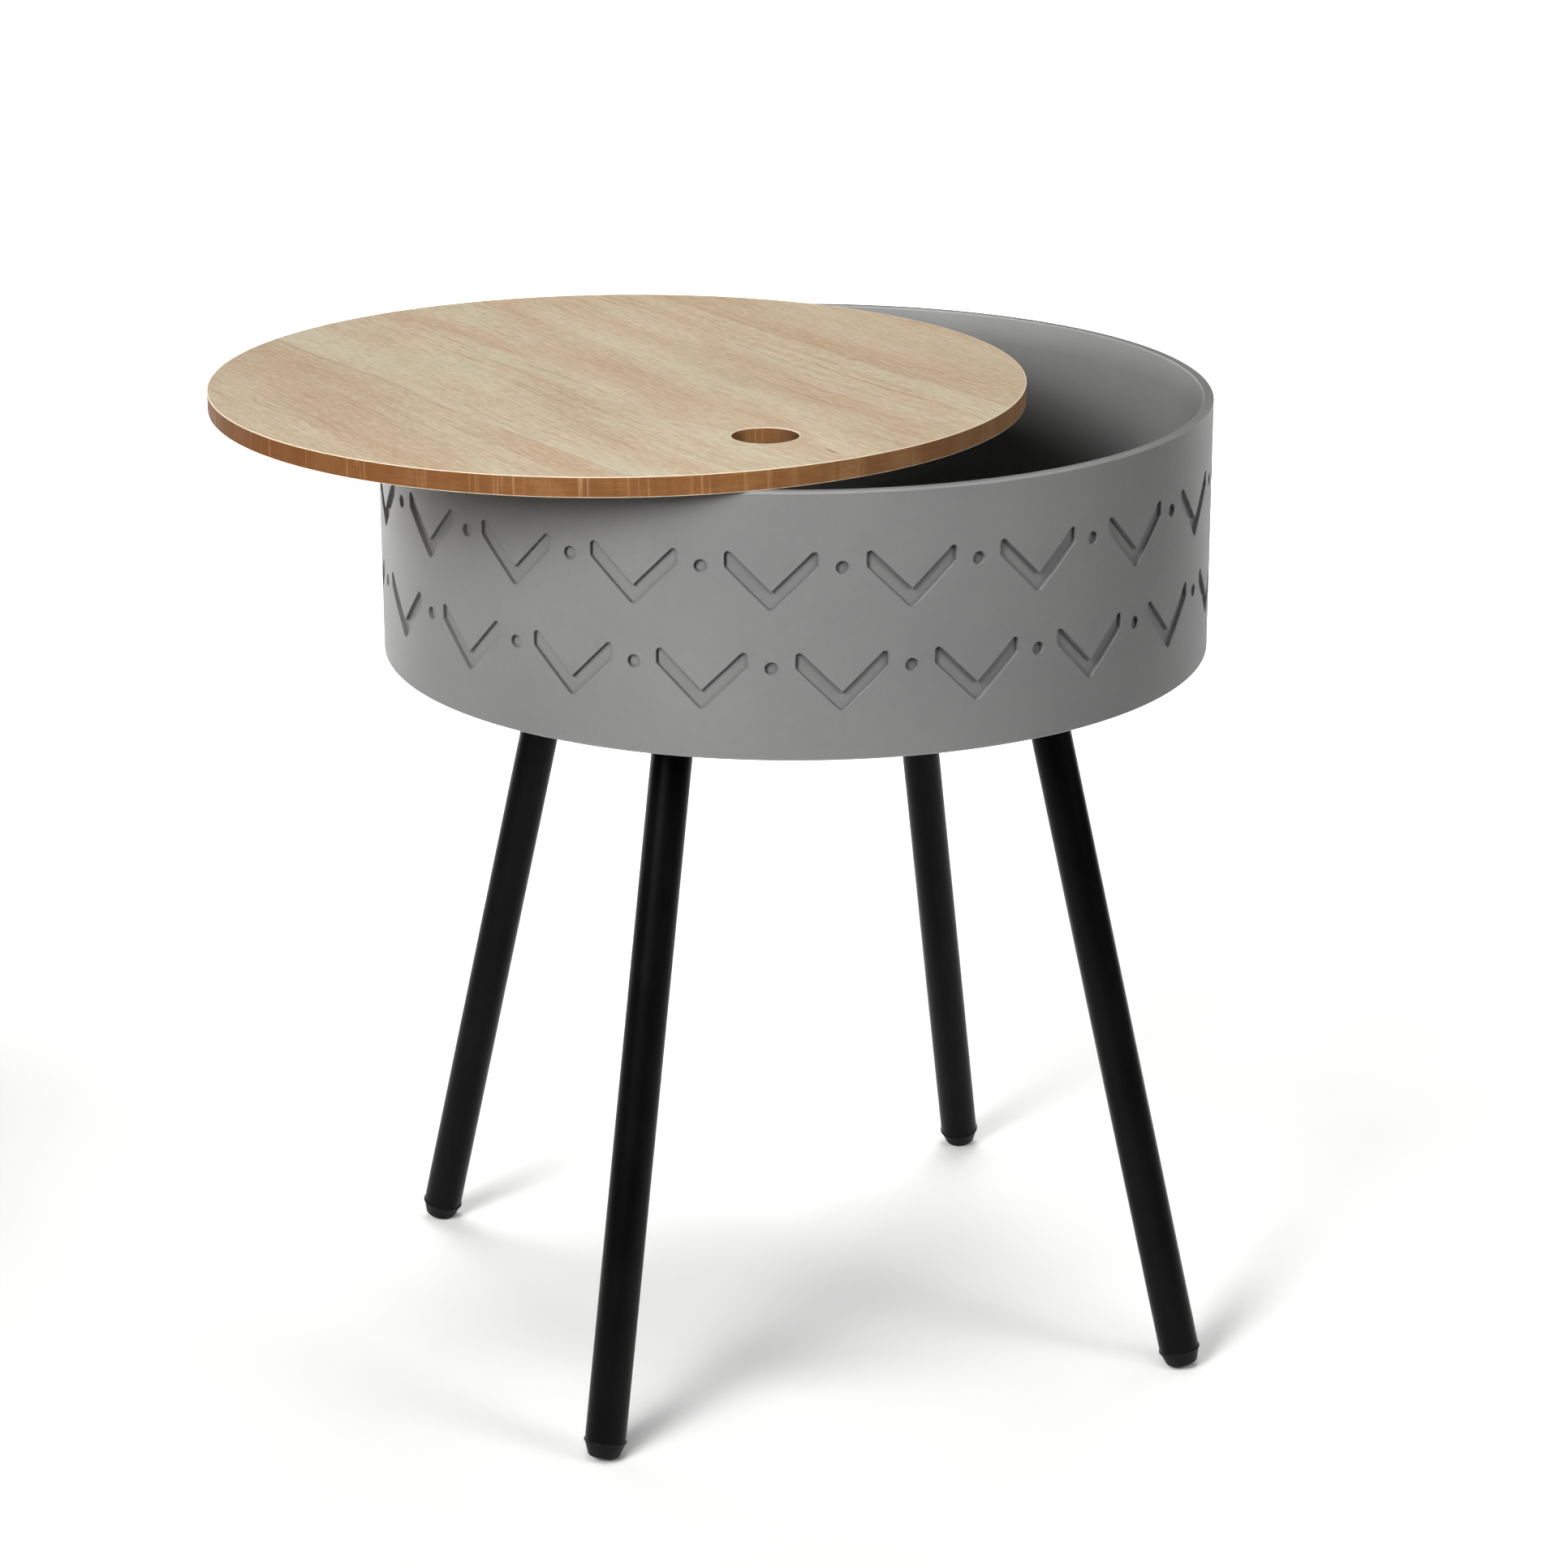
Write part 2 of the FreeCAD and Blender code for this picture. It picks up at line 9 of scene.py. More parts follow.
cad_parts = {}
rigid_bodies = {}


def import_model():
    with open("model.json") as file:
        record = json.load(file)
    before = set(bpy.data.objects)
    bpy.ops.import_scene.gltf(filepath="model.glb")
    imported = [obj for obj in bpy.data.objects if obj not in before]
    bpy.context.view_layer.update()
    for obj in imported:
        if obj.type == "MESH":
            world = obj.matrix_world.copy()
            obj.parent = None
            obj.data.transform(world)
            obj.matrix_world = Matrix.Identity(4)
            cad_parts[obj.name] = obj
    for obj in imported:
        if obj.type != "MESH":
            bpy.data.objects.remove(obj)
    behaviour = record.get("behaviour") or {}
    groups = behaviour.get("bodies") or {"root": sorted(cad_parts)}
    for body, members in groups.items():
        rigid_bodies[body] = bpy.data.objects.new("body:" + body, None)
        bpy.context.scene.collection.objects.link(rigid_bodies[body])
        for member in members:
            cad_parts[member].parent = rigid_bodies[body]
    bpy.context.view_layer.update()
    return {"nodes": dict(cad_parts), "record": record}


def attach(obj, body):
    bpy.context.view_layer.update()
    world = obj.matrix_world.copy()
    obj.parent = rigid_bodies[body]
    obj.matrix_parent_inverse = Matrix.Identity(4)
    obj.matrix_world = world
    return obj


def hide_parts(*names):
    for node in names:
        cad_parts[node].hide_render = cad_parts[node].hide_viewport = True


for old in list(bpy.data.objects):
    bpy.data.objects.remove(old)

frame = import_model()
nodes = frame["nodes"]

MM = 0.001
scene = bpy.context.scene
scene.view_settings.view_transform = "Standard"
scene.view_settings.look = "None"
scene.view_settings.exposure = 0.0
scene.view_settings.gamma = 1.0

# The photograph looks at the table from 19.43 degrees to the left of its front.
VIEW_TURN = math.radians(-19.43)


def from_view(x, y, z):
    """A point given as seen from the camera (right, away, up), in the row frame."""
    c, s = math.cos(VIEW_TURN), math.sin(VIEW_TURN)
    return Vector((c * x - s * y, s * x + c * y, z))


# ------------------------------------------------------------------ camera
CAM_AWAY, CAM_UP = 1.95437, 0.9089
CAM_PITCH, CAM_YAW, CAM_ROLL = 0.318046, -0.002903, 0.002412
CAM_LENS = 5261.07 * 36.0 / 1932.0

cp, sp = math.cos(CAM_PITCH), math.sin(CAM_PITCH)
cy, sy = math.cos(CAM_YAW), math.sin(CAM_YAW)
ahead = Vector((sy * cp, cy * cp, -sp))
right = Vector((cy, -sy, 0.0))
down = ahead.cross(right)
right, down = (math.cos(CAM_ROLL) * right + math.sin(CAM_ROLL) * down,
               -math.sin(CAM_ROLL) * right + math.cos(CAM_ROLL) * down)
axes = [from_view(*v) for v in (right, -down, -ahead)]
spot = from_view(0.0, -CAM_AWAY, CAM_UP)
camera_data = bpy.data.cameras.new("camera")
camera_data.lens = CAM_LENS
camera_data.sensor_width = 36.0
camera_data.sensor_fit = "HORIZONTAL"
camera_data.clip_end = 100.0
camera = bpy.data.objects.new("camera", camera_data)
scene.collection.objects.link(camera)
camera.matrix_world = Matrix((
    (axes[0].x, axes[1].x, axes[2].x, spot.x),
    (axes[0].y, axes[1].y, axes[2].y, spot.y),
    (axes[0].z, axes[1].z, axes[2].z, spot.z),
    (0.0, 0.0, 0.0, 1.0)))
scene.camera = camera


# ------------------------------------------------------------------ node helpers
def linear(*rgb):
    out = []
    for c in rgb:
        c = c / 255.0
        out.append(c / 12.92 if c <= 0.04045 else ((c + 0.055) / 1.055) ** 2.4)
    return (*out, 1.0)


class Graph:
    """Short names for building one material's nodes."""

    def __init__(self, name):
        self.material = bpy.data.materials.new(name)
        self.material.use_nodes = True
        self.tree = self.material.node_tree
        self.tree.nodes.clear()
        self.out = self.tree.nodes.new("ShaderNodeOutputMaterial")
        self.shader = self.tree.nodes.new("ShaderNodeBsdfPrincipled")
        self.link(self.shader.outputs[0], self.out.inputs["Surface"])

    def link(self, a, b):
        self.tree.links.new(a, b)

    def put(self, node, key, value):
        socket = node.inputs[key]
        if isinstance(value, bpy.types.NodeSocket):
            self.link(value, socket)
        else:
            socket.default_value = value

    def set(self, **values):
        for key, value in values.items():
            self.put(self.shader, key.replace("_", " "), value)

    def coords(self):
        return self.tree.nodes.new("ShaderNodeTexCoord").outputs["Object"]

    def math(self, op, a, b=None, c=None, clamp=False):
        node = self.tree.nodes.new("ShaderNodeMath")
        node.operation = op
        node.use_clamp = clamp
        for i, value in enumerate((a, b, c)):
            if value is not None:
                self.put(node, i, value)
        return node.outputs[0]

    def vmath(self, op, a, b=None, scale=None):
        node = self.tree.nodes.new("ShaderNodeVectorMath")
        node.operation = op
        self.put(node, 0, a)
        if b is not None:
            self.put(node, 1, b)
        if scale is not None:
            self.put(node, "Scale", scale)
        return node.outputs["Value"] if op in ("LENGTH", "DOT_PRODUCT", "DISTANCE") \
            else node.outputs["Vector"]

    def turn(self, vector, angle):
        node = self.tree.nodes.new("ShaderNodeVectorRotate")
        node.rotation_type = "Z_AXIS"
        self.put(node, "Vector", vector)
        node.inputs["Angle"].default_value = angle
        return node.outputs[0]

    def split(self, vector):
        node = self.tree.nodes.new("ShaderNodeSeparateXYZ")
        self.put(node, 0, vector)
        return node.outputs

    def join(self, x, y, z):
        node = self.tree.nodes.new("ShaderNodeCombineXYZ")
        for i, value in enumerate((x, y, z)):
            self.put(node, i, value)
        return node.outputs[0]

    def noise(self, vector, scale=1.0, detail=2.0, rough=0.5, distort=0.0, dims="3D"):
        node = self.tree.nodes.new("ShaderNodeTexNoise")
        node.noise_dimensions = dims
        if dims == "1D":
            self.put(node, "W", vector)
        else:
            self.put(node, "Vector", vector)
        node.inputs["Scale"].default_value = scale
        node.inputs["Detail"].default_value = detail
        node.inputs["Roughness"].default_value = rough
        node.inputs["Distortion"].default_value = distort
        return node.outputs["Fac"]

    def cells(self, vector, scale, dims="3D", feature="F1", smooth=None):
        node = self.tree.nodes.new("ShaderNodeTexVoronoi")
        node.voronoi_dimensions = dims
        node.feature = feature
        if dims == "1D":
            self.put(node, "W", vector)
        else:
            self.put(node, "Vector", vector)
        node.inputs["Scale"].default_value = scale
        return node.outputs

    def fit(self, value, low, high, out_low=0.0, out_high=1.0, smooth=False):
        node = self.tree.nodes.new("ShaderNodeMapRange")
        node.interpolation_type = "SMOOTHSTEP" if smooth else "LINEAR"
        node.clamp = True
        self.put(node, "Value", value)
        for key, number in (("From Min", low), ("From Max", high),
                            ("To Min", out_low), ("To Max", out_high)):
            node.inputs[key].default_value = number
        return node.outputs[0]

    def ramp(self, value, stops):
        node = self.tree.nodes.new("ShaderNodeValToRGB")
        self.put(node, 0, value)
        band = node.color_ramp
        while len(band.elements) < len(stops):
            band.elements.new(0.5)
        for element, (place, colour) in zip(band.elements, stops):
            element.position = place
            element.color = colour
        return node.outputs["Color"]

    def mix(self, factor, a, b, mode="MIX"):
        node = self.tree.nodes.new("ShaderNodeMix")
        node.data_type = "RGBA"
        node.blend_type = mode
        self.put(node, 0, factor)
        self.put(node, 6, a)
        self.put(node, 7, b)
        return node.outputs[2]

    def attribute(self, name):
        node = self.tree.nodes.new("ShaderNodeAttribute")
        node.attribute_name = name
        return node.outputs["Fac"]

    def bump(self, height, strength, distance, normal=None):
        node = self.tree.nodes.new("ShaderNodeBump")
        node.inputs["Strength"].default_value = strength
        node.inputs["Distance"].default_value = distance
        self.put(node, "Height", height)
        if normal is not None:
            self.put(node, "Normal", normal)
        self.link(node.outputs[0], self.shader.inputs["Normal"])
        return node.outputs[0]


# ------------------------------------------------------------------ materials
LID_X, LID_Y, LID_TURN = -0.0825, 0.013, -78.37
GRAIN_TURN = -77.0


def grey_paint():
    """Satin sprayed paint: soft orange peel, faint clouding, dust nibs, painted highlights on the
    arrises and painted shade in the creases.
    """
    g = Graph("grey_paint")
    p = g.coords()
    cloud = g.noise(p, 14.0, 3.0, 0.55)
    fine = g.noise(p, 260.0, 2.0, 0.5)
    tone = g.math("ADD", g.math("MULTIPLY", cloud, 0.7), g.math("MULTIPLY", fine, 0.3))
    colour = g.ramp(tone, [(0.30, linear(117, 117, 117)), (0.70, linear(124, 124, 123))])
    edge = g.attribute("edge")
    # painted highlight: where the edge value is positive the paint turns light grey
    painted_arris_highlight = g.math("MULTIPLY", g.math("MAXIMUM", edge, 0.0), g.fit(cloud, 0.3, 0.7, 0.25, 0.45))
    colour = g.mix(painted_arris_highlight, colour, linear(172, 172, 170))
    # painted shade: where the edge value is negative the paint turns dark grey, in hollows and on pocket
    # floors
    painted_crease_shade = g.math("MULTIPLY", g.math("MAXIMUM", g.math("MULTIPLY", edge, -1.0), 0.0),
                    g.fit(fine, 0.3, 0.7, 0.70, 0.90))
    colour = g.mix(painted_crease_shade, colour, linear(46, 46, 47))
    peel = g.noise(p, 520.0, 2.0, 0.45)
    nib = g.fit(g.cells(p, 210.0)[0], 0.0, 0.10, 1.0, 0.0)
    height = g.math("ADD", peel, g.math("MULTIPLY", nib, 0.35))
    g.bump(height, 0.10, 0.0004)
    g.set(Base_Color=colour, Roughness=g.fit(cloud, 0.3, 0.7, 0.42, 0.52))
    g.shader.inputs["Specular IOR Level"].default_value = 0.42
    return g.material


def oak_foil():
    """Printed pale oak: three wide planks, soft clouds, long streaks, fine fibres and pores."""
    g = Graph("oak_foil")

    def oak(*rgb):
        return tuple(0.90 * c for c in linear(*rgb)[:3]) + (1.0,)

    p = g.vmath("SUBTRACT", g.coords(), (LID_X, LID_Y, 0.0))
    p = g.turn(p, math.radians(-GRAIN_TURN))
    u, v, w = g.split(p)

    def stretched(along, across, seed, detail, rough, shift=0.0):
        return g.noise(g.join(g.math("MULTIPLY_ADD", u, along, shift),
                              g.math("MULTIPLY", vs, across), seed), 1.0, detail, rough)

    vs = v
    sway = g.math("SUBTRACT", stretched(6.0, 11.0, 0.6, 2.0, 0.5), 0.5)
    vs = g.math("MULTIPLY_ADD", sway, 0.020, v)
    # plank joints: two shallow curves along the grain
    upper = g.math("SUBTRACT", vs, g.math("MULTIPLY_ADD", u, 0.040, 0.1150))
    lower = g.math("SUBTRACT", vs, g.math("ADD", g.math("MULTIPLY", g.math("MULTIPLY", u, u), 0.14),
                                          g.math("MULTIPLY_ADD", u, 0.022, -0.0940)))
    in_upper = g.fit(upper, -0.0008, 0.0008, 0.0, 1.0)
    in_lower = g.fit(lower, 0.0008, -0.0008, 0.0, 1.0)
    # each plank has its own clouds
    plank = g.math("MULTIPLY_ADD", in_upper, 3.1, g.math("MULTIPLY", in_lower, 5.7))

    def planked(along, across, seed, detail, rough):
        return g.noise(g.join(g.math("MULTIPLY_ADD", u, along, plank),
                              g.math("MULTIPLY", vs, across),
                              g.math("ADD", plank, seed)), 1.0, detail, rough)

    broad = planked(6.0, 24.0, 2.4, 4.0, 0.56)
    warm = planked(5.0, 30.0, 8.3, 4.0, 0.58)
    patch = planked(5.0, 15.0, 4.9, 2.0, 0.5)
    colour = g.ramp(broad, [(0.30, oak(188, 166, 137)), (0.42, oak(198, 180, 152)),
                            (0.55, oak(206, 191, 164)), (0.70, oak(212, 203, 177))])
    colour = g.mix(g.fit(warm, 0.46, 0.63, 0.0, 0.82), colour, oak(195, 165, 136))
    colour = g.mix(g.fit(warm, 0.45, 0.30, 0.0, 0.70), colour, oak(202, 199, 171))
    # the outer planks are a touch browner next to their joints
    near_upper = g.math("MULTIPLY", in_upper, g.fit(upper, 0.0, 0.060, 0.60, 0.35))
    near_lower = g.math("MULTIPLY", in_lower, g.fit(lower, 0.0, -0.070, 0.70, 0.15))
    near_lower = g.math("MULTIPLY", near_lower, g.fit(u, -0.10, 0.14, 1.0, 0.25))
    colour = g.mix(g.math("ADD", near_upper, near_lower), colour, oak(189, 163, 134))
    pale = g.math("MULTIPLY", g.fit(lower, 0.0, 0.036, 0.70, 0.0),
                  g.math("SUBTRACT", 1.0, in_lower))
    pale = g.math("ADD", pale, g.math("MULTIPLY", g.fit(upper, 0.0, -0.022, 0.55, 0.0),
                                      g.math("SUBTRACT", 1.0, in_upper)))
    colour = g.mix(pale, colour, oak(207, 199, 172))
    # long streaks, gathered in some places
    streak = stretched(9.0, 300.0, 1.3, 4.0, 0.62)
    gather = g.fit(patch, 0.46, 0.66, 0.10, 1.0)
    lines = g.math("MULTIPLY", g.fit(streak, 0.52, 0.70, 0.0, 0.75), gather)
    colour = g.mix(lines, colour, oak(168, 139, 108))
    colour = g.mix(g.fit(streak, 0.46, 0.26, 0.0, 0.30), colour, oak(214, 202, 176))
    # short flecks and fine fibres
    fleck = stretched(130.0, 520.0, 7.9, 3.0, 0.62)
    colour = g.mix(g.fit(fleck, 0.52, 0.70, 0.0, 0.50), colour, oak(170, 144, 115))
    colour = g.mix(g.fit(fleck, 0.48, 0.30, 0.0, 0.50), colour, oak(221, 208, 184))
    fibre = stretched(55.0, 900.0, 5.2, 3.0, 0.60)
    colour = g.mix(g.fit(fibre, 0.52, 0.74, 0.0, 0.42), colour, oak(164, 137, 107))
    colour = g.mix(g.fit(fibre, 0.47, 0.26, 0.0, 0.34), colour, oak(220, 209, 185))
    # pores: short dark dashes
    dash = stretched(110.0, 1500.0, 6.6, 2.0, 0.5)
    pores = g.math("MULTIPLY", g.fit(dash, 0.60, 0.72, 0.0, 1.0), g.fit(patch, 0.40, 0.62, 0.2, 0.8))
    colour = g.mix(g.math("MULTIPLY", pores, 0.50), colour, oak(146, 118, 90))
    # plank joints
    broken = g.fit(stretched(30.0, 20.0, 3.3, 2.0, 0.5), 0.38, 0.60, 0.15, 0.75)
    for at in (upper, lower):
        gap = g.fit(g.math("ABSOLUTE", at), 0.0002, 0.0009, 1.0, 0.0)
        colour = g.mix(g.math("MULTIPLY", gap, g.math("MULTIPLY", broken, 0.60)), colour,
                       oak(166, 138, 108))
    # one open check beyond the finger hole
    cu = g.math("SUBTRACT", u, 0.1735)
    cv = g.math("SUBTRACT", vs, g.math("MULTIPLY_ADD", cu, -0.10, 0.0052))
    check = g.math("MULTIPLY", g.fit(g.math("ABSOLUTE", cu), 0.0075, 0.0020, 0.0, 1.0),
                   g.fit(g.math("ABSOLUTE", cv), 0.0008, 0.0002, 0.0, 1.0))
    colour = g.mix(g.math("MULTIPLY", check, 0.85), colour, oak(118, 86, 58))
    # the foil is paler along its rounded arrises
    edge = g.math("MULTIPLY", g.math("MAXIMUM", g.attribute("edge"), 0.0), 0.80)
    colour = g.mix(edge, colour, oak(245, 230, 205))
    height = g.math("SUBTRACT", g.math("MULTIPLY_ADD", fibre, 0.4, g.math("MULTIPLY", streak, 0.4)),
                    g.math("MULTIPLY_ADD", pores, 0.6, check))
    g.bump(height, 0.16, 0.0003)
    g.set(Base_Color=colour, Roughness=g.fit(streak, 0.3, 0.7, 0.48, 0.60))
    g.shader.inputs["Specular IOR Level"].default_value = 0.30
    return g.material


def raw_fibreboard():
    """Cut board edge: brown fibres in layers, upright cutter marks at uneven steps."""
    g = Graph("raw_fibreboard")

    def board(*rgb):
        return tuple(0.82 * c for c in linear(*rgb)[:3]) + (1.0,)

    p = g.coords()
    x, y, z = g.split(p)

    def edgewise(across, up, seed, detail, rough):
        return g.noise(g.join(g.math("MULTIPLY_ADD", x, across, seed), g.math("MULTIPLY", y, across),
                              g.math("MULTIPLY", z, up)), 1.0, detail, rough)

    wide = edgewise(45.0, 20.0, 0.0, 3.0, 0.55)
    marks = edgewise(330.0, 14.0, 4.4, 3.0, 0.60)
    layers = edgewise(70.0, 1100.0, 8.1, 4.0, 0.62)
    fluff = edgewise(1500.0, 1900.0, 2.3, 2.0, 0.6)
    tone = g.math("ADD", g.math("MULTIPLY", wide, 0.40),
                  g.math("MULTIPLY_ADD", layers, 0.38, g.math("MULTIPLY", fluff, 0.22)))
    colour = g.ramp(tone, [(0.36, board(124, 82, 46)), (0.50, board(143, 97, 56)),
                           (0.62, board(161, 114, 69))])
    # painted light mixed with patchy tone: the edge turns paler towards the right, with random pale
    # patches
    painted_light_and_tone = g.math("ADD", g.fit(x, -0.10, 0.10, 0.0, 0.55),
                    g.math("MULTIPLY_ADD", wide, 0.8, -0.4))
    colour = g.mix(g.math("MAXIMUM", painted_light_and_tone, 0.0), colour, board(166, 131, 97))
    # painted shade: the edge turns darker and browner towards the left
    colour = g.mix(g.fit(x, -0.10, -0.25, 0.0, 0.62), colour, board(108, 64, 28))
    colour = g.mix(g.fit(marks, 0.58, 0.74, 0.0, 0.65), colour, board(193, 147, 104))
    colour = g.mix(g.fit(marks, 0.42, 0.28, 0.0, 0.40), colour, board(116, 75, 42))
    # painted shade on the hole's wall, darker towards one side
    turn = math.radians(LID_TURN)
    off = g.vmath("SUBTRACT", p, (LID_X + 0.1338 * math.cos(turn), LID_Y + 0.1338 * math.sin(turn), 0.0))
    ox, oy, oz = g.split(off)
    round_hole = g.fit(g.vmath("LENGTH", g.join(ox, oy, 0.0)), 0.018, 0.016, 0.0, 1.0)
    sideways = g.vmath("DOT_PRODUCT", off, (0.943, -0.333, 0.0))
    colour = g.mix(g.math("MULTIPLY", round_hole, g.fit(sideways, -0.008, 0.015, 0.0, 0.80)),
                   colour, board(58, 32, 15))
    height = g.math("ADD", g.math("MULTIPLY", marks, 0.5),
                    g.math("MULTIPLY_ADD", layers, 0.3, g.math("MULTIPLY", fluff, 0.2)))
    g.bump(height, 0.30, 0.0004)
    g.set(Base_Color=colour, Roughness=g.fit(layers, 0.3, 0.7, 0.62, 0.78))
    g.shader.inputs["Specular IOR Level"].default_value = 0.12
    return g.material


def black_powder_coat():
    """Satin black powder coat with a fine pebble."""
    g = Graph("black_powder_coat")
    p = g.coords()
    cloud = g.noise(p, 25.0, 3.0, 0.55)
    pebble = g.noise(p, 900.0, 2.0, 0.5)
    colour = g.ramp(cloud, [(0.3, linear(6, 6, 7)), (0.7, linear(11, 11, 11))])
    g.bump(pebble, 0.12, 0.0003)
    g.set(Base_Color=colour, Roughness=g.fit(cloud, 0.3, 0.7, 0.27, 0.35))
    g.shader.inputs["Specular IOR Level"].default_value = 0.09
    return g.material


def black_plastic():
    """Moulded black plastic with a fine spark-eroded grain."""
    g = Graph("black_plastic")
    p = g.coords()
    grain = g.noise(p, 1600.0, 2.0, 0.6)
    cloud = g.noise(p, 120.0, 2.0, 0.5)
    colour = g.ramp(cloud, [(0.3, linear(8, 8, 9)), (0.7, linear(13, 13, 14))])
    g.bump(grain, 0.25, 0.0003)
    g.set(Base_Color=colour, Roughness=g.fit(cloud, 0.3, 0.7, 0.44, 0.54))
    g.shader.inputs["Specular IOR Level"].default_value = 0.14
    return g.material


def zinc_steel():
    """Bright zinc plate with soft clouding."""
    g = Graph("zinc_steel")
    p = g.coords()
    cloud = g.noise(p, 160.0, 3.0, 0.6)
    turned = g.noise(g.vmath("MULTIPLY", p, (90.0, 90.0, 2600.0)), 1.0, 2.0, 0.5)
    colour = g.ramp(cloud, [(0.3, linear(178, 180, 182)), (0.7, linear(206, 206, 202))])
    g.bump(turned, 0.08, 0.0002)
    g.set(Base_Color=colour, Roughness=g.fit(cloud, 0.3, 0.7, 0.26, 0.40))
    g.shader.inputs["Metallic"].default_value = 1.0
    return g.material


def floor_paper():
    """Pale studio floor."""
    g = Graph("floor_paper")
    cloud = g.noise(g.coords(), 3.0, 2.0, 0.5)
    colour = g.ramp(cloud, [(0.3, linear(250, 250, 249)), (0.7, linear(252, 252, 251))])
    g.set(Base_Color=colour)
    g.shader.inputs["Roughness"].default_value = 0.9
    g.shader.inputs["Specular IOR Level"].default_value = 0.0
    return g.material


def backdrop_paper():
    """Pale paper round the lit floor, bright of itself, that fades in with the distance."""
    g = Graph("backdrop_paper")
    p = g.coords()
    cloud = g.noise(p, 0.6, 2.0, 0.5)
    colour = g.ramp(cloud, [(0.3, linear(250, 250, 249)), (0.7, linear(253, 253, 252))])
    far = g.fit(g.vmath("LENGTH", p), 0.50, 1.05, 0.0, 1.0, smooth=True)
    g.set(Base_Color=colour, Emission_Color=colour, Alpha=far)
    g.shader.inputs["Emission Strength"].default_value = 1.0
    g.shader.inputs["Roughness"].default_value = 0.9
    g.shader.inputs["Specular IOR Level"].default_value = 0.0
    return g.material


MATERIALS = {f.__name__: f() for f in (grey_paint, oak_foil, raw_fibreboard,
                                       black_powder_coat, black_plastic, zinc_steel)}
for entry in frame["record"]["subparts"]:
    mesh = nodes[entry["node"]].data
    mesh.materials.clear()
    mesh.materials.append(MATERIALS[entry["material_slot"]])


# ------------------------------------------------------------------ mesh building
class Shell:
    """Collects faces with a normal for each corner, welded by place."""

    def __init__(self):
        self.places = {}
        self.points = []
        self.edges = []
        self.faces = []
        self.normals = []

    def point(self, place, edge):
        key = tuple(int(round(c * 2e7)) for c in place)
        if key not in self.places:
            self.places[key] = len(self.points)
            self.points.append(place)
            self.edges.append(edge)
        return self.places[key]

    def face(self, corners):
        """corners: (place, normal, edge) each, counter-clockwise seen from outside."""
        index = [self.point(c[0], c[2]) for c in corners]
        keep = [i for i in range(len(index)) if index[i] != index[i - 1]]
        if len(keep) < 3 or len(set(index[i] for i in keep)) < len(keep):
            return
        a, b, c = (Vector(corners[i][0]) for i in keep[:3])
        if len(keep) == 3:
            flat = (b - a).cross(c - a)
        else:
            flat = (c - a).cross(Vector(corners[keep[3]][0]) - b)
        facing = Vector((0.0, 0.0, 0.0))
        for i in keep:
            facing += Vector(corners[i][1])
        if flat.dot(facing) < 0.0:
            keep.reverse()
        self.faces.append([index[i] for i in keep])
        self.normals.extend(tuple(corners[i][1]) for i in keep)

    def build(self, name, material):
        mesh = bpy.data.meshes.new(name)
        mesh.from_pydata(self.points, [], self.faces)
        mesh.update()
        for polygon in mesh.polygons:
            polygon.use_smooth = True
        mesh.normals_split_custom_set([Vector(n).normalized() for n in self.normals])
        layer = mesh.attributes.new("edge", "FLOAT", "POINT")
        layer.data.foreach_set("value", np.array(self.edges, np.float32))
        mesh.materials.append(material)
        piece = bpy.data.objects.new(name, mesh)
        scene.collection.objects.link(piece)
        return piece


def rounded(corners, step):
    """Closed 2-D outline with rounded corners: list of (point, outward normal).
    corners: (x, y, radius), counter-clockwise."""
    count = len(corners)
    runs = []
    for i, (x, y, r) in enumerate(corners):
        here = Vector((x, y))
        back = (Vector(corners[i - 1][:2]) - here).normalized()
        on = (Vector(corners[(i + 1) % count][:2]) - here).normalized()
        n_in = Vector((-back.y, back.x))
        n_out = Vector((on.y, -on.x))
        if r <= 0.0:
            runs.append([(here, (n_in + n_out) / (1.0 + n_in.dot(n_out)))])
            continue
        angle = math.acos(max(-1.0, min(1.0, back.dot(on))))
        reach = r / math.tan(angle / 2)
        middle = here + (back + on).normalized() * (r / math.sin(angle / 2))
        turn = math.pi - angle
        convex = (-back).x * on.y - (-back).y * on.x > 0
        pieces = max(3, int(math.ceil(turn * max(r, 0.8 * MM) / (0.35 * MM))))
        a0 = math.atan2(n_in.y, n_in.x)
        arc = []
        for k in range(pieces + 1):
            a = a0 + (turn if convex else -turn) * k / pieces
            n = Vector((math.cos(a), math.sin(a)))
            arc.append((middle + n * (r if convex else -r), n))
        runs.append(arc)
    outline = []
    for i, run in enumerate(runs):
        outline.extend(run)
        start, end = run[-1][0], runs[(i + 1) % count][0][0]
        n = end - start
        length = n.length
        n = Vector((n.y, -n.x)).normalized()
        pieces = max(1, int(round(length / step)))
        for k in range(1, pieces):
            outline.append((start.lerp(end, k / pieces), n))
    return outline


def inside(loop, x, y):
    """Whether a point lies in a closed outline, given as an array of points."""
    xs, ys = loop[:, 0], loop[:, 1]
    xn, yn = np.roll(xs, -1), np.roll(ys, -1)
    cross = (ys > y) != (yn > y)
    with np.errstate(divide="ignore", invalid="ignore"):
        at = (xn - xs) * (y - ys) / (yn - ys) + xs
    return bool(np.count_nonzero(cross & (x < at)) % 2)


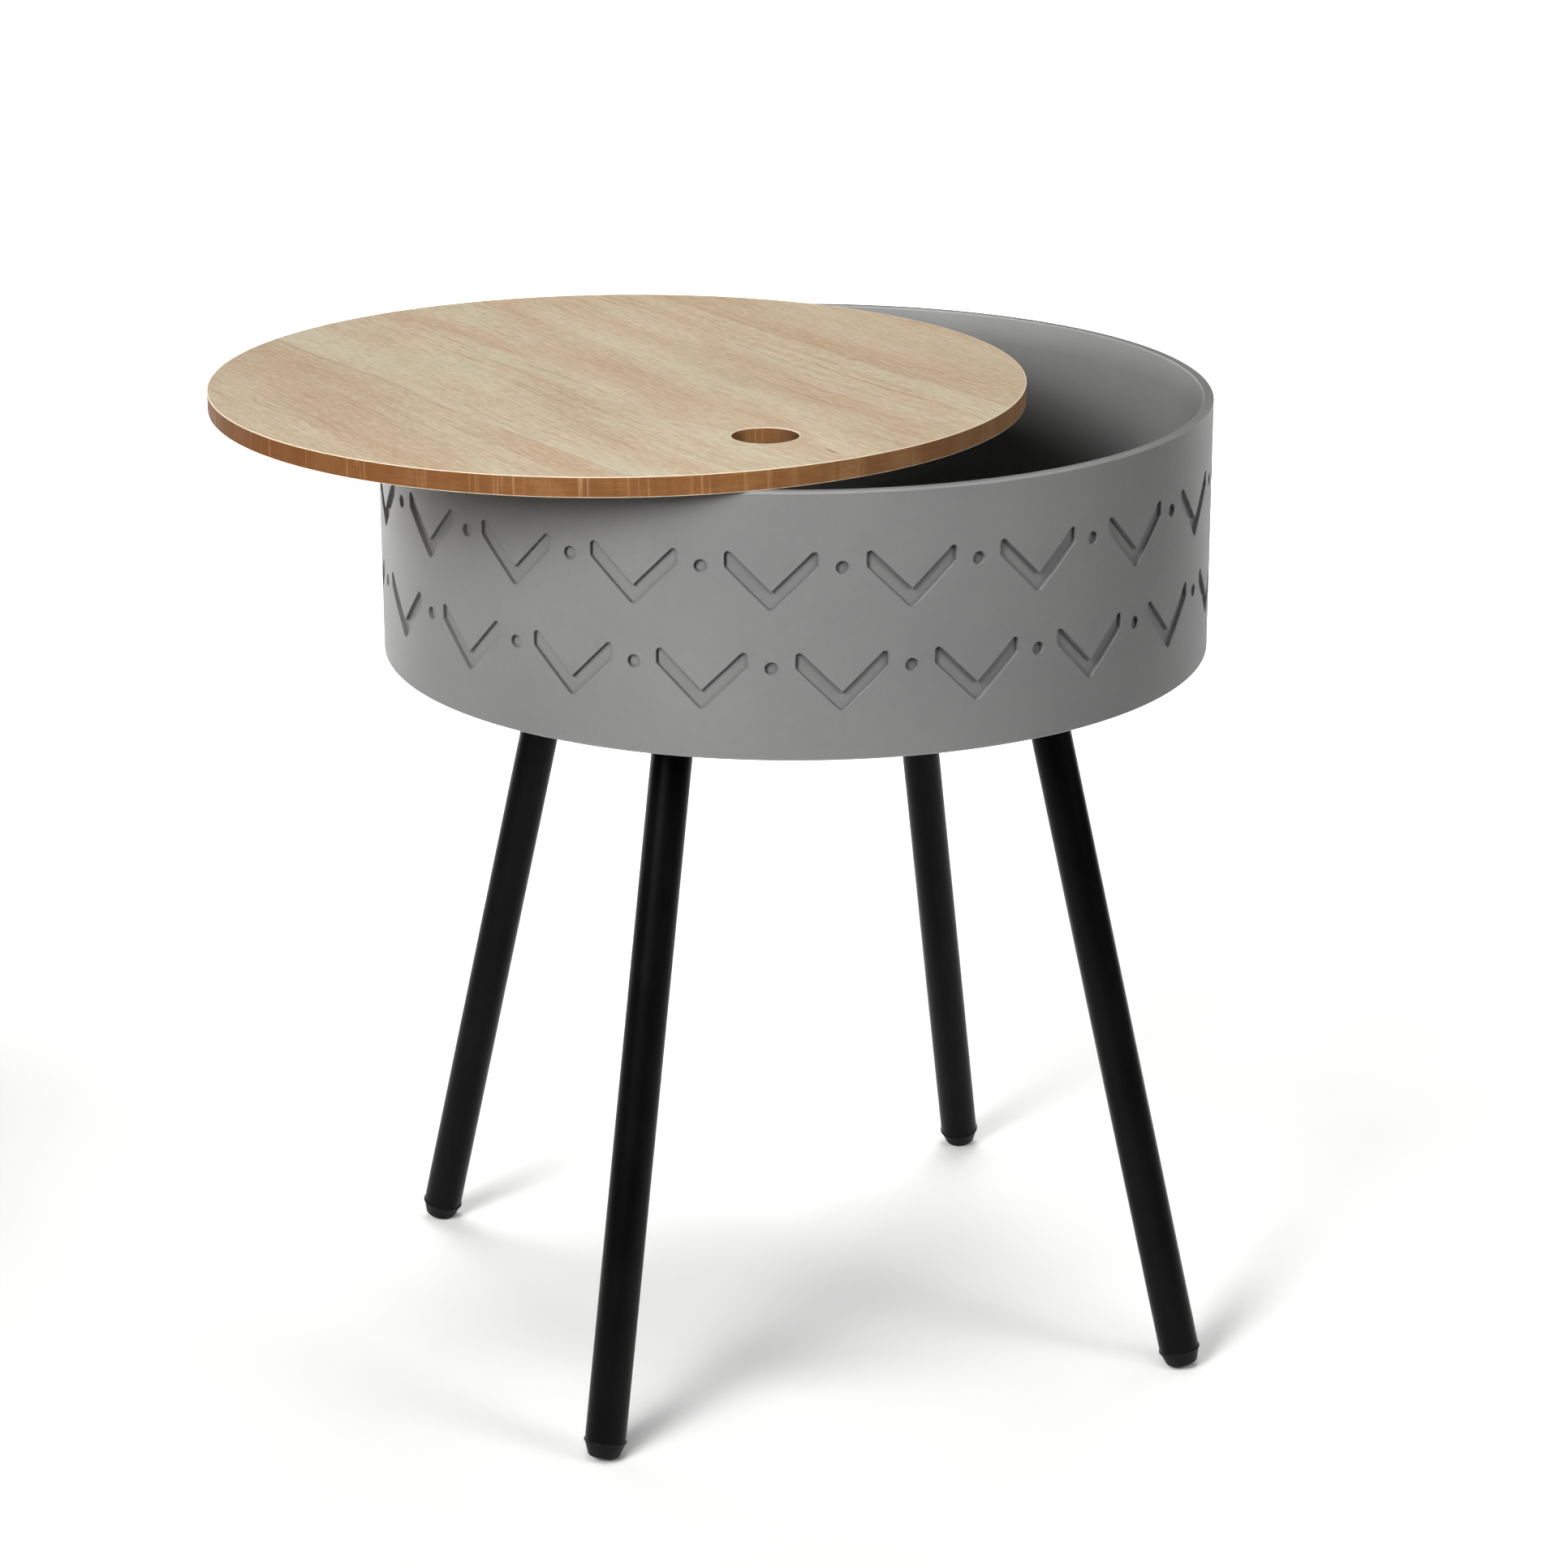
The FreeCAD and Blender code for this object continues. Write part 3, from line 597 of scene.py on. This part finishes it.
def fill(shell, outer, holes, inner, place, edge=None):
    """Triangulates a flat region (outer outline, holes, extra points) and puts it in place.
    place(x, y) gives (point, normal), edge(x, y) the edge value of a new point, used for painted shade."""
    points, edges = [], []
    for loop in [outer] + holes:
        first = len(points)
        points.extend(loop)
        edges.extend((first + k, first + (k + 1) % len(loop)) for k in range(len(loop)))
    ring = len(points)
    points.extend(inner)
    flat, _, faces, origin, _, _ = delaunay_2d_cdt(
        [Vector(q) * 1000.0 for q in points], edges, [], 0, 1e-7)
    polygons = [np.array(loop) for loop in [outer] + holes]

    for f in faces:
        middle = sum((flat[i] for i in f), Vector((0.0, 0.0))) / (3.0 * 1000.0)
        if not inside(polygons[0], *middle):
            continue
        if any(inside(loop, *middle) for loop in polygons[1:]):
            continue
        corners = []
        for i in f:
            source = origin[i][0] if origin[i] else None
            q = points[source] if source is not None else flat[i] / 1000.0
            spot, normal = place(q[0], q[1])
            corners.append((spot, normal, edge(q[0], q[1]) if edge else 0.0))
        shell.face(corners)


# ------------------------------------------------------------------ drum wall
# The same section and routed pattern as the CAD node, with the softened edges
# that paint leaves on every arris.
R_OUT, WALL, DEEP = 195.0 * MM, 5.0 * MM, 2.0 * MM
Z_LOW, Z_TOP = 340.0 * MM, 460.0 * MM
RIM, RIM_IN, FOOT = 1.2 * MM, 0.8 * MM, 1.0 * MM
LIP, SOFT, COVE = 0.30 * MM, 0.25 * MM, 0.20 * MM
COUNT = 20
STEP = 2.0 * math.pi / COUNT
FRONT = -math.pi / 2


def drum_wall():
    shell = Shell()

    def on_wall(turn, x, z, depth):
        """Sketch point x, z of a cut facing the angle turn, at a depth in the wall."""
        r = R_OUT - depth
        a = turn + math.asin(max(-1.0, min(1.0, x / r)))
        return (r * math.cos(a), r * math.sin(a), z)

    def unroll(turn, x):
        return turn + math.asin(x / R_OUT)

    def chevron(top):
        half, drop, band = 20.1 * MM, 20.0 * MM, 9.05 * MM
        return rounded([
            (-half, top, 1.6 * MM), (-half, top - band, 1.8 * MM),
            (0.0, top - drop - band, 2.1 * MM), (half, top - band, 1.8 * MM),
            (half, top, 1.6 * MM), (0.0, top - drop, 0.0)], 2.0 * MM)

    def dot(z):
        r = 2.85 * MM
        return [(Vector((r * math.cos(t), z + r * math.sin(t))),
                 Vector((math.cos(t), math.sin(t))))
                for t in (2.0 * math.pi * k / 36 for k in range(36))]

    rows = []
    for top, sign in ((435.7 * MM, -1.0), (435.7 * MM - 44.9 * MM, 1.0)):
        phase = math.radians(4.5) * sign
        rows.append((phase, chevron(top)))
        rows.append((phase - sign * STEP / 2, dot(top - 9.2 * MM)))

    # The painted shade and painted highlight on a routed edge depend on the way it faces, as light from
    # the upper left would fall. Columns: upper right, upper left, lower right and lower left edges.
    habits = ((0.45, 0.15, 0.50, 0.25),    # painted shade on the lip
              (0.00, 0.00, 0.75, 0.00),    # painted highlight on the arris
              (0.50, 0.40, 0.35, 0.65),    # painted shade on the wall
              (0.78, 0.50, 0.50, 0.35),    # painted shade on the floor by the wall
              (2.70, 0.50, 2.00, 0.50))    # how far the painted shade spreads on the floor, in mm

    def habit(nv):
        n = nv.normalized()
        shares = [max(0.0, n.x * sx + n.y * sy)
                  for sx, sy in ((1, 1), (-1, 1), (1, -1), (-1, -1))]
        return [sum(s * v for s, v in zip(shares, row)) / sum(shares) for row in habits]

    # Section of a routed edge: (outward offset, depth, out, tilt, edge), where out and tilt
    # make the normal and edge runs from 1 for a painted highlight on the arris to -1 for painted shade
    # in the hollow.
    def profile(nv):
        lip, painted_glint, side, near, reach = habit(nv)
        section = [(SOFT + LIP, 0.0, 1.0, 0.0, 0.0)]
        # edge values: a painted highlight along the arris, painted shade on the lip, down the wall and
        # on the floor by the wall
        for k in range(6):
            t = math.radians(90.0 * k / 5)
            section.append((SOFT * (1 - math.sin(t)), SOFT * (1 - math.cos(t)),
                            math.cos(t), -math.sin(t),
                            painted_glint * math.sin(2 * t) - lip * (1 - k / 5) - 0.7 * side * (k / 5) ** 3))
        for k in range(5):
            t = math.radians(90.0 * k / 4)
            section.append((-COVE * (1 - math.cos(t)), DEEP - COVE * (1 - math.sin(t)),
                            math.sin(t), -math.cos(t), -side * (0.8 + 0.2 * math.sin(t))))
        section.append((-COVE - 0.06 * MM, DEEP, 1.0, 0.0, -near))
        section.append((-COVE - 0.40 * MM, DEEP, 1.0, 0.0,
                        -near * max(0.0, 1.0 - 0.6 / reach) ** 1.5))
        return section

    def spread(outline):
        """The painted shade on a pocket's floor, as a function of the place."""
        q = np.array([tuple(p) for p, nv in outline])
        n = np.array([tuple(nv.normalized()) for p, nv in outline])
        near, reach = np.array([habit(nv)[3:] for p, nv in outline]).T
        reach = reach * MM

        def at(x, z):
            d = q - (x, z)
            deep = (d * n).sum(1)
            aside = np.abs(d[:, 0] * n[:, 1] - d[:, 1] * n[:, 0])
            here = (aside < 1.3 * MM) & (deep > 0.0) & (deep < reach)
            if not here.any():
                return 0.0
            return -float((near[here] * (1.0 - deep[here] / reach[here]) ** 1.5).max())

        return at

    def floor_points(outline):
        """A fine grid on a pocket's floor, clear of its edge."""
        ring = np.array([tuple(p - nv.normalized() * (COVE + 0.40 * MM)) for p, nv in outline])
        (x0, z0), (x1, z1) = ring.min(0), ring.max(0)
        points = []
        for i in range(1, int((x1 - x0) / (1.2 * MM)) + 1):
            for j in range(1, int((z1 - z0) / (1.2 * MM)) + 1):
                x, z = x0 + i * 1.2 * MM, z0 + j * 1.2 * MM
                if inside(ring, x, z) and np.min(np.hypot(*(ring - (x, z)).T)) > 0.55 * MM:
                    points.append((x, z))
        return points

    rows = [(phase, outline, spread(outline), floor_points(outline)) for phase, outline in rows]

    # one sector: the edge of a sector steps sideways between the two rows
    z_land_low, z_land_top = Z_LOW + FOOT, Z_TOP - RIM
    low_edge, top_edge = math.radians(-6.5), math.radians(-11.5)
    low_z, top_z = 392.0 * MM, 404.0 * MM
    side = [(low_edge, z_land_low + (low_z - z_land_low) * k / 10) for k in range(10)]
    side += [(low_edge + (top_edge - low_edge) * k / 5, low_z + (top_z - low_z) * k / 5)
             for k in range(5)]
    side += [(top_edge, top_z + (z_land_top - top_z) * k / 10) for k in range(11)]
    columns = 18
    bottom = [(low_edge + STEP * k / columns, z_land_low) for k in range(columns + 1)]
    top = [(top_edge + STEP * k / columns, z_land_top) for k in range(columns + 1)]
    # unrolled so that one unit across is one unit of arc
    outer = [(a * R_OUT, z) for a, z in
             bottom[:-1] + [(a + STEP, z) for a, z in side]
             + top[::-1][1:] + side[::-1][1:-1]]

    for n in range(COUNT):
        sector = FRONT + n * STEP
        holes = []
        for phase, outline, painted_floor_shade, grid in rows:
            loop = []
            for q, nv in outline:
                m = q + nv * (SOFT + LIP)
                loop.append(((phase + math.asin(m.x / R_OUT)) * R_OUT, m.y))
            holes.append(loop)
        hole_arrays = [np.array(loop) for loop in holes]
        inner = []
        for i in range(-14, 16):
            for j in range(1, 16):
                a = math.radians(float(i))
                z = z_land_low + (z_land_top - z_land_low) * j / 16
                share = min(1.0, max(0.0, (z - low_z) / (top_z - low_z)))
                left = low_edge + (top_edge - low_edge) * share
                if not left + math.radians(0.4) < a < left + STEP - math.radians(0.4):
                    continue
                spot = np.array((a * R_OUT, z))
                if any(np.min(np.hypot(*(h - spot).T)) < 1.0 * MM for h in hole_arrays):
                    continue
                inner.append(tuple(spot))

        def place(x, z, sector=sector):
            a = sector + x / R_OUT
            n = (math.cos(a), math.sin(a), 0.0)
            return (R_OUT * n[0], R_OUT * n[1], z), n

        fill(shell, outer, holes, inner, place)

        for phase, outline, painted_floor_shade, grid in rows:
            turn = sector + phase
            face = Vector((math.cos(turn), math.sin(turn), 0.0))
            across = Vector((-face.y, face.x, 0.0))
            up = Vector((0.0, 0.0, 1.0))
            sections = [profile(nv) for q, nv in outline]
            loops = []
            for i in range(len(sections[0])):
                loop = []
                for (q, nv), section_here in zip(outline, sections):
                    offset, depth, out, tilt, edge = section_here[i]
                    m = q + nv * offset
                    spot = on_wall(turn, m.x, m.y, depth)
                    radial = Vector((spot[0], spot[1], 0.0)).normalized()
                    flat = nv.normalized()
                    wall = across * flat.x + up * flat.y
                    loop.append((spot, (radial * out + wall * tilt).normalized(), edge))
                loops.append(loop)
            count = len(outline)
            for one, two in zip(loops, loops[1:]):
                for i in range(count):
                    j = (i + 1) % count
                    shell.face([one[i], one[j], two[j], two[i]])
            floor_loop = []
            for (q, nv), section_here in zip(outline, sections):
                m = q + nv * section_here[-1][0]
                floor_loop.append((m.x, m.y))

            def sunk(x, z, turn=turn):
                spot = on_wall(turn, x, z, DEEP)
                n = Vector((spot[0], spot[1], 0.0)).normalized()
                return spot, tuple(n)

            # the floor grid carries painted shade that fades away from the pocket's edges
            fill(shell, floor_loop, [], grid, sunk, painted_floor_shade)

    # rim, inside, groove and foot, swept round
    section = []

    def arc(cx, cz, r, a0, a1, pieces, edge):
        for k in range(pieces):
            s = []
            for kk in (k, k + 1):
                a = math.radians(a0 + (a1 - a0) * kk / pieces)
                s.append((cx + r * math.cos(a), cz + r * math.sin(a),
                          math.cos(a), math.sin(a), edge))
            section.append(s)

    def run(x0, z0, x1, z1, nx, nz, pieces=1):
        for k in range(pieces):
            section.append([(x0 + (x1 - x0) * kk / pieces, z0 + (z1 - z0) * kk / pieces,
                             nx, nz, 0.0) for kk in (k, k + 1)])

    r_in = R_OUT - WALL
    groove = r_in + 1.5 * MM
    b_low, b_top = 348.0 * MM, 357.0 * MM
    # the last argument of arc is the edge value, a painted highlight along each rounded arris
    arc(R_OUT - RIM, Z_TOP - RIM, RIM, 0, 90, 6, 0.3)
    run(R_OUT - RIM, Z_TOP, r_in + RIM_IN, Z_TOP, 0, 1)
    arc(r_in + RIM_IN, Z_TOP - RIM_IN, RIM_IN, 90, 180, 5, 1.0)
    run(r_in, Z_TOP - RIM_IN, r_in, b_top, -1, 0, 8)
    run(r_in, b_top, groove, b_top, 0, -1)
    run(groove, b_top, groove, b_low, -1, 0)
    run(groove, b_low, r_in, b_low, 0, 1)
    run(r_in, b_low, r_in, Z_LOW + RIM_IN, -1, 0)
    arc(r_in + RIM_IN, Z_LOW + RIM_IN, RIM_IN, 180, 270, 4, 1.0)
    run(r_in + RIM_IN, Z_LOW, R_OUT - FOOT, Z_LOW, 0, -1)
    arc(R_OUT - FOOT, Z_LOW + FOOT, FOOT, 270, 360, 5, 1.0)
    total = COUNT * columns
    for k in range(total):
        for low, high in section:
            # the land's columns start at a different angle along its two edges
            corners = []
            for (x, z, nx, nz, edge), kk in ((low, k), (low, k + 1), (high, k + 1), (high, k)):
                a = FRONT + top_edge + STEP * kk / columns
                corners.append(((x * math.cos(a), x * math.sin(a), z),
                                (nx * math.cos(a), nx * math.sin(a), nz), edge))
            shell.face(corners)
    return shell.build("drum_wall_routed", MATERIALS["grey_paint"])


wall = drum_wall()
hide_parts("drum_wall")
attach(wall, "table")


# ------------------------------------------------------------------ lid
LID_R, HOLE_R, HOLE_AT = 189.2 * MM, 15.0 * MM, 133.8 * MM


def lid_layer(name, low, high, low_round, high_round, material):
    """One layer of the lid: a disc with the finger hole and eased arrises."""
    shell = Shell()
    turn = math.radians(LID_TURN)
    hole = (LID_X + HOLE_AT * math.cos(turn), LID_Y + HOLE_AT * math.sin(turn))
    loops = [((LID_X, LID_Y), LID_R, 1.0, 480), (hole, HOLE_R, -1.0, 120)]
    section = []
    pieces = 3
    section.append((-low_round - 0.50 * MM, low, 0.0, -1.0, 0.0))
    for k in range(pieces + 1):
        a = math.radians(-90.0 + 90.0 * k / pieces)
        section.append((-low_round * (1 - math.cos(a)), low + low_round * (1 + math.sin(a)),
                        math.cos(a), math.sin(a), 1.0))
    for k in range(pieces + 1):
        a = math.radians(90.0 * k / pieces)
        section.append((-high_round * (1 - math.cos(a)), high - high_round * (1 - math.sin(a)),
                        math.cos(a), math.sin(a), 1.0))
    section.append((-high_round - 0.50 * MM, high, 0.0, 1.0, 0.0))
    caps = {"low": [], "high": []}
    for (cx, cy), r, way, count in loops:
        ringed = []
        for k in range(count):
            t = 2.0 * math.pi * k / count
            c, s = math.cos(t), math.sin(t)
            column = []
            for off, z, nr, nz, edge in section:
                rr = r + off * way
                column.append(((cx + rr * c, cy + rr * s, z),
                               (nr * way * c, nr * way * s, nz), edge))
            ringed.append(column)
        for k in range(count):
            one, two = ringed[k], ringed[(k + 1) % count]
            for i in range(len(section) - 1):
                shell.face([one[i], two[i], two[i + 1], one[i + 1]])
        caps["low"].append([column[0][0][:2] for column in ringed])
        caps["high"].append([column[-1][0][:2] for column in ringed])
    for key, z, up in (("low", low, -1.0), ("high", high, 1.0)):
        fill(shell, caps[key][0], [caps[key][1]], [],
             lambda x, y, z=z, up=up: ((x, y, z), (0.0, 0.0, up)))
    return shell.build(name, material)


for name, node, low, high, low_round, high_round, slot in (
        ("lid_board", "lid_core", 460.3, 468.7, 0.02, 0.02, "raw_fibreboard"),
        ("lid_decor_foil", "lid_top_foil", 468.7, 469.0, 0.02, 0.22, "oak_foil"),
        ("lid_backing_foil", "lid_underside_foil", 460.0, 460.3, 0.22, 0.02, "oak_foil")):
    layer = lid_layer(name, low * MM, high * MM, low_round * MM, high_round * MM,
                      MATERIALS[slot])
    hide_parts(node)
    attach(layer, "lid")


# ------------------------------------------------------------------ floor and light
floor_mesh = bpy.data.meshes.new("floor")
size = 14.0
floor_mesh.from_pydata([(-size, -size, 0), (size, -size, 0), (size, size, 0), (-size, size, 0)],
                       [], [(0, 1, 2, 3)])
floor_mesh.materials.append(floor_paper())
floor = bpy.data.objects.new("floor", floor_mesh)
scene.collection.objects.link(floor)

# a round backdrop that only closes the view, and gives the object no light
backdrop_mesh = bpy.data.meshes.new("backdrop")
turns = [2.0 * math.pi * k / 96 for k in range(96)]
backdrop_mesh.from_pydata([(r * math.cos(t), r * math.sin(t), z)
                           for r, z in ((0.48, 0.001), (13.0, 0.001), (13.0, 9.0)) for t in turns], [],
                          [(at + k, at + 96 + k, at + 96 + (k + 1) % 96, at + (k + 1) % 96)
                           for at in (0, 96) for k in range(96)])
backdrop_mesh.materials.append(backdrop_paper())
backdrop = bpy.data.objects.new("backdrop", backdrop_mesh)
scene.collection.objects.link(backdrop)
backdrop.visible_diffuse = False
backdrop.visible_glossy = False
backdrop.visible_shadow = False


def softbox(name, x, y, z, width, height, power, aim=(0.0, 0.0, 0.42), spread=180.0):
    data = bpy.data.lights.new(name, "AREA")
    data.shape = "RECTANGLE"
    data.size = width
    data.size_y = height
    data.energy = power
    data.spread = math.radians(spread)
    lamp = bpy.data.objects.new(name, data)
    scene.collection.objects.link(lamp)
    place = from_view(x, y, z)
    lamp.location = place
    lamp.rotation_euler = (from_view(*aim) - place).to_track_quat("-Z", "Y").to_euler()
    lamp.visible_camera = False
    return lamp


# gridded softboxes from the front, a panel above, strips behind on both sides, and lamps
# aimed to wash over the floor
softbox("key_left", -1.114, -1.328, 1.775, 0.8, 0.8, 2.20, spread=45.0)
softbox("front_left", -0.997, -1.727, 1.350, 0.8, 0.8, 3.17, spread=45.0)
softbox("front_right", 1.727, -0.997, 1.350, 0.8, 0.8, 1.60, spread=45.0)
softbox("panel_above", 0.0, 1.2, 2.6, 1.4, 1.4, 6.99, (0.0, 0.9, 0.0), 50.0)
softbox("strip_left", -1.685, 1.414, 0.47, 0.5, 0.9, 12.4)
softbox("strip_back", -1.100, 1.905, 0.47, 0.5, 0.9, 10.1)
softbox("strip_right", 1.414, 1.685, 0.47, 0.5, 0.9, 5.1)
softbox("floor_front", 0.0, -0.75, 2.3, 1.4, 0.3, 1.0, (0.0, -0.40, 0.0), 25.0)
softbox("floor_right", 1.3, 0.7, 2.2, 0.6, 0.6, 0.78, (0.72, 0.45, 0.0), 28.0)
softbox("wash", 0.0, 2.9, 2.2, 5.0, 2.0, 170.0, (0.0, 5.2, 0.0))

world = bpy.data.worlds.new("studio")
world.use_nodes = True
world.node_tree.nodes["Background"].inputs["Color"].default_value = (1.0, 1.0, 1.0, 1.0)
world.node_tree.nodes["Background"].inputs["Strength"].default_value = 0.01
scene.world = world
